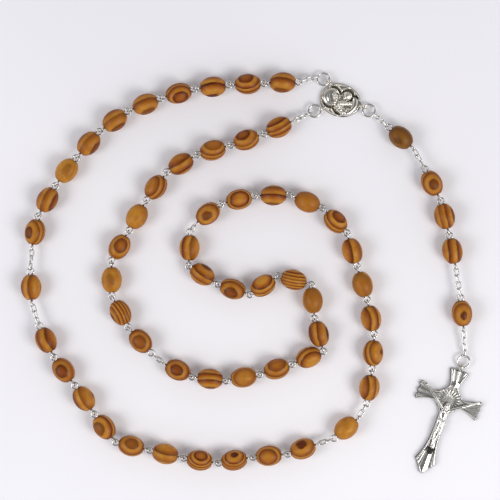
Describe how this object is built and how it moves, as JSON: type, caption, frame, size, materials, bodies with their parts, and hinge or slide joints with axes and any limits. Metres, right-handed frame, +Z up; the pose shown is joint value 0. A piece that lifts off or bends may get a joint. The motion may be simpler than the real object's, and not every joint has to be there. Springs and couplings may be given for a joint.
{
  "type": "rosary",
  "caption": "Rosary of oval wooden beads on wire eye pins, laid out in a spiral, with a centre medal, a short drop and a crucifix; every link swings.",
  "frame": {"origin": "on the table under the middle of the laid-out rosary", "axes": "+Z up from the table, +X along the longer side of the layout, towards the crucifix"},
  "size_m": [0.1476, 0.1288, 0.0065],
  "materials": {
    "turned_wood": "turned and waxed, strong dark annual rings",
    "bright_wire": "bright plated steel wire",
    "antique_silver": "cast alloy, antique silver plate with dark recesses"
  },
  "bodies": {
    "medal": {"medal": "antique_silver"},
    "first_decade_jump_ring": {"first_decade_jump_ring": "bright_wire"},
    "fifth_decade_jump_ring": {"fifth_decade_jump_ring": "bright_wire"},
    "drop_jump_ring": {"drop_jump_ring": "bright_wire"},
    "decade_1_bead_01": {"decade_1_bead_01": "turned_wood"},
    "decade_1_bead_02": {"decade_1_bead_02": "turned_wood"},
    "decade_1_bead_03": {"decade_1_bead_03": "turned_wood"},
    "decade_1_bead_04": {"decade_1_bead_04": "turned_wood"},
    "decade_1_beads_05_06": {"decade_1_beads_05_06": "turned_wood"},
    "decade_1_bead_07": {"decade_1_bead_07": "turned_wood"},
    "decade_1_bead_08": {"decade_1_bead_08": "turned_wood"},
    "decade_1_bead_09": {"decade_1_bead_09": "turned_wood"},
    "decade_1_bead_10": {"decade_1_bead_10": "turned_wood"},
    "our_father_bead_1": {"our_father_bead_1": "turned_wood"},
    "decade_2_bead_01": {"decade_2_bead_01": "turned_wood"},
    "decade_2_bead_02": {"decade_2_bead_02": "turned_wood"},
    "decade_2_bead_03": {"decade_2_bead_03": "turned_wood"},
    "decade_2_bead_04": {"decade_2_bead_04": "turned_wood"},
    "decade_2_beads_05_06": {"decade_2_beads_05_06": "turned_wood"},
    "decade_2_bead_07": {"decade_2_bead_07": "turned_wood"},
    "decade_2_bead_08": {"decade_2_bead_08": "turned_wood"},
    "decade_2_bead_09": {"decade_2_bead_09": "turned_wood"},
    "decade_2_bead_10": {"decade_2_bead_10": "turned_wood"},
    "our_father_bead_2": {"our_father_bead_2": "turned_wood"},
    "decade_3_bead_01": {"decade_3_bead_01": "turned_wood"},
    "decade_3_bead_02": {"decade_3_bead_02": "turned_wood"},
    "decade_3_bead_03": {"decade_3_bead_03": "turned_wood"},
    "decade_3_bead_04": {"decade_3_bead_04": "turned_wood"},
    "decade_3_beads_05_06": {"decade_3_beads_05_06": "turned_wood"},
    "decade_3_bead_07": {"decade_3_bead_07": "turned_wood"},
    "decade_3_bead_08": {"decade_3_bead_08": "turned_wood"},
    "decade_3_bead_09": {"decade_3_bead_09": "turned_wood"},
    "decade_3_bead_10": {"decade_3_bead_10": "turned_wood"},
    "our_father_bead_3": {"our_father_bead_3": "turned_wood"},
    "decade_4_bead_01": {"decade_4_bead_01": "turned_wood"},
    "decade_4_bead_02": {"decade_4_bead_02": "turned_wood"},
    "decade_4_bead_03": {"decade_4_bead_03": "turned_wood"},
    "decade_4_bead_04": {"decade_4_bead_04": "turned_wood"},
    "decade_4_beads_05_06": {"decade_4_beads_05_06": "turned_wood"},
    "decade_4_bead_07": {"decade_4_bead_07": "turned_wood"},
    "decade_4_bead_08": {"decade_4_bead_08": "turned_wood"},
    "decade_4_bead_09": {"decade_4_bead_09": "turned_wood"},
    "decade_4_bead_10": {"decade_4_bead_10": "turned_wood"},
    "our_father_bead_4": {"our_father_bead_4": "turned_wood"},
    "decade_5_bead_01": {"decade_5_bead_01": "turned_wood"},
    "decade_5_bead_02": {"decade_5_bead_02": "turned_wood"},
    "decade_5_bead_03": {"decade_5_bead_03": "turned_wood"},
    "decade_5_bead_04": {"decade_5_bead_04": "turned_wood"},
    "decade_5_beads_05_06": {"decade_5_beads_05_06": "turned_wood"},
    "decade_5_bead_07": {"decade_5_bead_07": "turned_wood"},
    "decade_5_bead_08": {"decade_5_bead_08": "turned_wood"},
    "decade_5_bead_09": {"decade_5_bead_09": "turned_wood"},
    "decade_5_bead_10": {"decade_5_bead_10": "turned_wood"},
    "drop_our_father_bead_1": {"drop_our_father_bead_1": "turned_wood"},
    "drop_hail_mary_bead_1": {"drop_hail_mary_bead_1": "turned_wood"},
    "drop_hail_mary_bead_2": {"drop_hail_mary_bead_2": "turned_wood"},
    "drop_hail_mary_bead_3": {"drop_hail_mary_bead_3": "turned_wood"},
    "drop_our_father_bead_2": {"drop_our_father_bead_2": "turned_wood"},
    "crucifix_jump_ring": {"crucifix_jump_ring": "bright_wire"},
    "crucifix": {"crucifix": "antique_silver"}
  },
  "joints": [
    {"name": "first_decade_jump_ring_swing", "type": "hinge", "parent": "medal", "child": "first_decade_jump_ring", "pos_m": [0.02471, 0.06154, 0.0015], "axis": [-0.309, -0.9511, 0], "range_deg": [-60, 60]},
    {"name": "decade_1_bead_01_swing", "type": "hinge", "parent": "first_decade_jump_ring", "child": "decade_1_bead_01", "pos_m": [0.021, 0.06274, 0.0015], "axis": [0.309, 0.9511, 0], "range_deg": [-60, 60]},
    {"name": "decade_1_bead_02_swing", "type": "hinge", "parent": "decade_1_bead_01", "child": "decade_1_bead_02", "pos_m": [0.00469, 0.06058, 0.00325], "axis": [-0.0428, 0.9991, 0], "range_deg": [-60, 60]},
    {"name": "decade_1_bead_03_swing", "type": "hinge", "parent": "decade_1_bead_02", "child": "decade_1_bead_03", "pos_m": [-0.0065, 0.06007, 0.00325], "axis": [0.0453, -0.999, 0], "range_deg": [-60, 60]},
    {"name": "decade_1_bead_04_swing", "type": "hinge", "parent": "decade_1_bead_03", "child": "decade_1_bead_04", "pos_m": [-0.01763, 0.05882, 0.00325], "axis": [0.1188, -0.9929, 0], "range_deg": [-60, 60]},
    {"name": "decade_1_beads_05_06_swing", "type": "hinge", "parent": "decade_1_bead_04", "child": "decade_1_beads_05_06", "pos_m": [-0.02846, 0.05599, 0.00325], "axis": [-0.265, 0.9643, 0], "range_deg": [-60, 60]},
    {"name": "decade_1_bead_07_swing", "type": "hinge", "parent": "decade_1_beads_05_06", "child": "decade_1_bead_07", "pos_m": [-0.04813, 0.04568, 0.00325], "axis": [-0.5828, 0.8126, 0], "range_deg": [-60, 60]},
    {"name": "decade_1_bead_08_swing", "type": "hinge", "parent": "decade_1_bead_07", "child": "decade_1_bead_08", "pos_m": [-0.05566, 0.03742, 0.00325], "axis": [0.7528, -0.6583, 0], "range_deg": [-60, 60]},
    {"name": "decade_1_bead_09_swing", "type": "hinge", "parent": "decade_1_bead_08", "child": "decade_1_bead_09", "pos_m": [-0.06245, 0.02851, 0.00325], "axis": [0.7989, -0.6014, 0], "range_deg": [-60, 60]},
    {"name": "decade_1_bead_10_swing", "type": "hinge", "parent": "decade_1_bead_09", "child": "decade_1_bead_10", "pos_m": [-0.06805, 0.01883, 0.00325], "axis": [-0.8714, 0.4905, 0], "range_deg": [-60, 60]},
    {"name": "our_father_bead_1_swing", "type": "hinge", "parent": "decade_1_bead_10", "child": "our_father_bead_1", "pos_m": [-0.07046, 0.00794, 0.00325], "axis": [-0.9821, 0.1882, 0], "range_deg": [-60, 60]},
    {"name": "decade_2_bead_01_swing", "type": "hinge", "parent": "our_father_bead_1", "child": "decade_2_bead_01", "pos_m": [-0.0705, -0.00982, 0.00325], "axis": [0.9987, 0.0502, 0], "range_deg": [-60, 60]},
    {"name": "decade_2_bead_02_swing", "type": "hinge", "parent": "decade_2_bead_01", "child": "decade_2_bead_02", "pos_m": [-0.06384, -0.02624, 0.00325], "axis": [0.9036, 0.4285, 0], "range_deg": [-60, 60]},
    {"name": "decade_2_bead_03_swing", "type": "hinge", "parent": "decade_2_bead_02", "child": "decade_2_bead_03", "pos_m": [-0.05734, -0.03535, 0.00325], "axis": [-0.8039, -0.5948, 0], "range_deg": [-60, 60]},
    {"name": "decade_2_bead_04_swing", "type": "hinge", "parent": "decade_2_bead_03", "child": "decade_2_bead_04", "pos_m": [-0.05099, -0.04457, 0.00325], "axis": [-0.8256, -0.5643, 0], "range_deg": [-60, 60]},
    {"name": "decade_2_beads_05_06_swing", "type": "hinge", "parent": "decade_2_bead_04", "child": "decade_2_beads_05_06", "pos_m": [-0.0443, -0.05355, 0.00325], "axis": [0.7994, 0.6008, 0], "range_deg": [-60, 60]},
    {"name": "decade_2_bead_07_swing", "type": "hinge", "parent": "decade_2_beads_05_06", "child": "decade_2_bead_07", "pos_m": [-0.02285, -0.05918, 0.00325], "axis": [0.2227, 0.9749, 0], "range_deg": [-60, 60]},
    {"name": "decade_2_bead_08_swing", "type": "hinge", "parent": "decade_2_bead_07", "child": "decade_2_bead_08", "pos_m": [-0.01178, -0.06084, 0.00325], "axis": [-0.14, -0.9902, 0], "range_deg": [-60, 60]},
    {"name": "decade_2_bead_09_swing", "type": "hinge", "parent": "decade_2_bead_08", "child": "decade_2_bead_09", "pos_m": [-0.00073, -0.05925, 0.00325], "axis": [0.1687, -0.9857, 0], "range_deg": [-60, 60]},
    {"name": "decade_2_bead_10_swing", "type": "hinge", "parent": "decade_2_bead_09", "child": "decade_2_bead_10", "pos_m": [0.01041, -0.05818, 0.00325], "axis": [-0.0892, 0.996, 0], "range_deg": [-60, 60]},
    {"name": "our_father_bead_2_swing", "type": "hinge", "parent": "decade_2_bead_10", "child": "our_father_bead_2", "pos_m": [0.02106, -0.05479, 0.00325], "axis": [-0.3232, 0.9463, 0], "range_deg": [-60, 60]},
    {"name": "decade_3_bead_01_swing", "type": "hinge", "parent": "our_father_bead_2", "child": "decade_3_bead_01", "pos_m": [0.03401, -0.04653, 0.00325], "axis": [0.6391, -0.7691, 0], "range_deg": [-60, 60]},
    {"name": "decade_3_bead_02_swing", "type": "hinge", "parent": "decade_3_bead_01", "child": "decade_3_bead_02", "pos_m": [0.03829, -0.03185, 0.00325], "axis": [0.9876, -0.1569, 0], "range_deg": [-60, 60]},
    {"name": "decade_3_bead_03_swing", "type": "hinge", "parent": "decade_3_bead_02", "child": "decade_3_bead_03", "pos_m": [0.03898, -0.02068, 0.00325], "axis": [-0.9986, 0.0523, 0], "range_deg": [-60, 60]},
    {"name": "decade_3_bead_04_swing", "type": "hinge", "parent": "decade_3_bead_03", "child": "decade_3_bead_04", "pos_m": [0.03701, -0.00968, 0.00325], "axis": [-0.9801, -0.1983, 0], "range_deg": [-60, 60]},
    {"name": "decade_3_beads_05_06_swing", "type": "hinge", "parent": "decade_3_bead_04", "child": "decade_3_beads_05_06", "pos_m": [0.03379, 0.00104, 0.00325], "axis": [0.9549, 0.2968, 0], "range_deg": [-60, 60]},
    {"name": "decade_3_bead_07_swing", "type": "hinge", "parent": "decade_3_beads_05_06", "child": "decade_3_bead_07", "pos_m": [0.02306, 0.01997, 0.00325], "axis": [0.7115, 0.7027, 0], "range_deg": [-60, 60]},
    {"name": "decade_3_bead_08_swing", "type": "hinge", "parent": "decade_3_bead_07", "child": "decade_3_bead_08", "pos_m": [0.01287, 0.02441, 0.00325], "axis": [-0.3659, -0.9307, 0], "range_deg": [-60, 60]},
    {"name": "decade_3_bead_09_swing", "type": "hinge", "parent": "decade_3_bead_08", "child": "decade_3_bead_09", "pos_m": [0.00174, 0.02458, 0.00325], "axis": [0.019, -0.9998, 0], "range_deg": [-60, 60]},
    {"name": "decade_3_bead_10_swing", "type": "hinge", "parent": "decade_3_bead_09", "child": "decade_3_bead_10", "pos_m": [-0.00918, 0.0222, 0.00325], "axis": [-0.2322, 0.9727, 0], "range_deg": [-60, 60]},
    {"name": "our_father_bead_3_swing", "type": "hinge", "parent": "decade_3_bead_10", "child": "our_father_bead_3", "pos_m": [-0.01815, 0.01564, 0.00325], "axis": [-0.6202, 0.7845, 0], "range_deg": [-60, 60]},
    {"name": "decade_4_bead_01_swing", "type": "hinge", "parent": "our_father_bead_3", "child": "decade_4_bead_01", "pos_m": [-0.02027, 0.00282, 0.00325], "axis": [0.999, -0.0436, 0], "range_deg": [-60, 60]},
    {"name": "decade_4_bead_02_swing", "type": "hinge", "parent": "decade_4_bead_01", "child": "decade_4_bead_02", "pos_m": [-0.01169, -0.00335, 0.00325], "axis": [0.5363, 0.8441, 0], "range_deg": [-60, 60]},
    {"name": "decade_4_bead_03_swing", "type": "hinge", "parent": "decade_4_bead_02", "child": "decade_4_bead_03", "pos_m": [-0.00138, -0.00683, 0.00325], "axis": [-0.3037, -0.9528, 0], "range_deg": [-60, 60]},
    {"name": "decade_4_bead_04_swing", "type": "hinge", "parent": "decade_4_bead_03", "child": "decade_4_bead_04", "pos_m": [0.00777, -0.00139, 0.00325], "axis": [0.5541, -0.8325, 0], "range_deg": [-60, 60]},
    {"name": "decade_4_beads_05_06_swing", "type": "hinge", "parent": "decade_4_bead_04", "child": "decade_4_beads_05_06", "pos_m": [0.0182, -0.00367, 0.00325], "axis": [0.2618, 0.9651, 0], "range_deg": [-60, 60]},
    {"name": "decade_4_bead_07_swing", "type": "hinge", "parent": "decade_4_beads_05_06", "child": "decade_4_bead_07", "pos_m": [0.0226, -0.02455, 0.00325], "axis": [0.9648, 0.2629, 0], "range_deg": [-60, 60]},
    {"name": "decade_4_bead_08_swing", "type": "hinge", "parent": "decade_4_bead_07", "child": "decade_4_bead_08", "pos_m": [0.01335, -0.02911, 0.00325], "axis": [-0.381, 0.9246, 0], "range_deg": [-60, 60]},
    {"name": "decade_4_bead_09_swing", "type": "hinge", "parent": "decade_4_bead_08", "child": "decade_4_bead_09", "pos_m": [0.00297, -0.0324, 0.00325], "axis": [-0.2971, 0.9549, 0], "range_deg": [-60, 60]},
    {"name": "decade_4_bead_10_swing", "type": "hinge", "parent": "decade_4_bead_09", "child": "decade_4_bead_10", "pos_m": [-0.00773, -0.0345, 0.00325], "axis": [0.185, -0.9827, 0], "range_deg": [-60, 60]},
    {"name": "our_father_bead_4_swing", "type": "hinge", "parent": "decade_4_bead_10", "child": "our_father_bead_4", "pos_m": [-0.01854, -0.03345, 0.00325], "axis": [-0.1159, -0.9933, 0], "range_deg": [-60, 60]},
    {"name": "decade_5_bead_01_swing", "type": "hinge", "parent": "our_father_bead_4", "child": "decade_5_bead_01", "pos_m": [-0.02847, -0.02902, 0.00325], "axis": [0.4256, 0.9049, 0], "range_deg": [-60, 60]},
    {"name": "decade_5_bead_02_swing", "type": "hinge", "parent": "decade_5_bead_01", "child": "decade_5_bead_02", "pos_m": [-0.03914, -0.01814, 0.00325], "axis": [0.7426, 0.6697, 0], "range_deg": [-60, 60]},
    {"name": "decade_5_bead_03_swing", "type": "hinge", "parent": "decade_5_bead_02", "child": "decade_5_bead_03", "pos_m": [-0.04449, -0.00833, 0.00325], "axis": [-0.8883, -0.4592, 0], "range_deg": [-60, 60]},
    {"name": "decade_5_bead_04_swing", "type": "hinge", "parent": "decade_5_bead_03", "child": "decade_5_bead_04", "pos_m": [-0.04501, 0.00275, 0.00325], "axis": [-1, -0.0056, 0], "range_deg": [-60, 60]},
    {"name": "decade_5_beads_05_06_swing", "type": "hinge", "parent": "decade_5_bead_04", "child": "decade_5_beads_05_06", "pos_m": [-0.03995, 0.0126, 0.00325], "axis": [0.8677, -0.4971, 0], "range_deg": [-60, 60]},
    {"name": "decade_5_bead_07_swing", "type": "hinge", "parent": "decade_5_beads_05_06", "child": "decade_5_bead_07", "pos_m": [-0.02783, 0.03141, 0.00325], "axis": [0.8086, -0.5883, 0], "range_deg": [-60, 60]},
    {"name": "decade_5_bead_08_swing", "type": "hinge", "parent": "decade_5_bead_07", "child": "decade_5_bead_08", "pos_m": [-0.01837, 0.03725, 0.00325], "axis": [-0.4937, 0.8697, 0], "range_deg": [-60, 60]},
    {"name": "decade_5_bead_09_swing", "type": "hinge", "parent": "decade_5_bead_08", "child": "decade_5_bead_09", "pos_m": [-0.00768, 0.0405, 0.00325], "axis": [-0.2705, 0.9627, 0], "range_deg": [-60, 60]},
    {"name": "decade_5_bead_10_swing", "type": "hinge", "parent": "decade_5_bead_09", "child": "decade_5_bead_10", "pos_m": [0.00294, 0.04407, 0.00325], "axis": [0.3229, -0.9464, 0], "range_deg": [-60, 60]},
    {"name": "drop_jump_ring_swing", "type": "hinge", "parent": "medal", "child": "drop_jump_ring", "pos_m": [0.03598, 0.05325, 0.0015], "axis": [0.6157, 0.788, 0], "range_deg": [-60, 60]},
    {"name": "drop_our_father_bead_1_swing", "type": "hinge", "parent": "drop_jump_ring", "child": "drop_our_father_bead_1", "pos_m": [0.03905, 0.05085, 0.0015], "axis": [-0.6157, -0.788, 0], "range_deg": [-60, 60]},
    {"name": "drop_hail_mary_bead_1_swing", "type": "hinge", "parent": "drop_our_father_bead_1", "child": "drop_hail_mary_bead_1", "pos_m": [0.05144, 0.03986, 0.00325], "axis": [-0.6551, -0.7555, 0], "range_deg": [-60, 60]},
    {"name": "drop_hail_mary_bead_2_swing", "type": "hinge", "parent": "drop_hail_mary_bead_1", "child": "drop_hail_mary_bead_2", "pos_m": [0.05979, 0.02401, 0.00325], "axis": [0.893, 0.45, 0], "range_deg": [-60, 60]},
    {"name": "drop_hail_mary_bead_3_swing", "type": "hinge", "parent": "drop_hail_mary_bead_2", "child": "drop_hail_mary_bead_3", "pos_m": [0.06278, 0.01304, 0.00325], "axis": [0.9708, 0.24, 0], "range_deg": [-60, 60]},
    {"name": "drop_our_father_bead_2_swing", "type": "hinge", "parent": "drop_hail_mary_bead_3", "child": "drop_our_father_bead_2", "pos_m": [0.06507, 0.00187, 0.00325], "axis": [-0.9804, -0.197, 0], "range_deg": [-60, 60]},
    {"name": "crucifix_jump_ring_swing", "type": "hinge", "parent": "drop_our_father_bead_2", "child": "crucifix_jump_ring", "pos_m": [0.06852, -0.02674, 0.0015], "axis": [-0.995, -0.1004, 0], "range_deg": [-60, 60]},
    {"name": "crucifix_swing", "type": "hinge", "parent": "crucifix_jump_ring", "child": "crucifix", "pos_m": [0.06744, -0.03048, 0.0015], "axis": [0.9613, -0.2756, 0], "range_deg": [-60, 60]},
    {"name": "fifth_decade_jump_ring_swing", "type": "hinge", "parent": "medal", "child": "fifth_decade_jump_ring", "pos_m": [0.02195, 0.05229, 0.0015], "axis": [0.2079, -0.9781, 0], "range_deg": [-60, 60]}
  ]
}
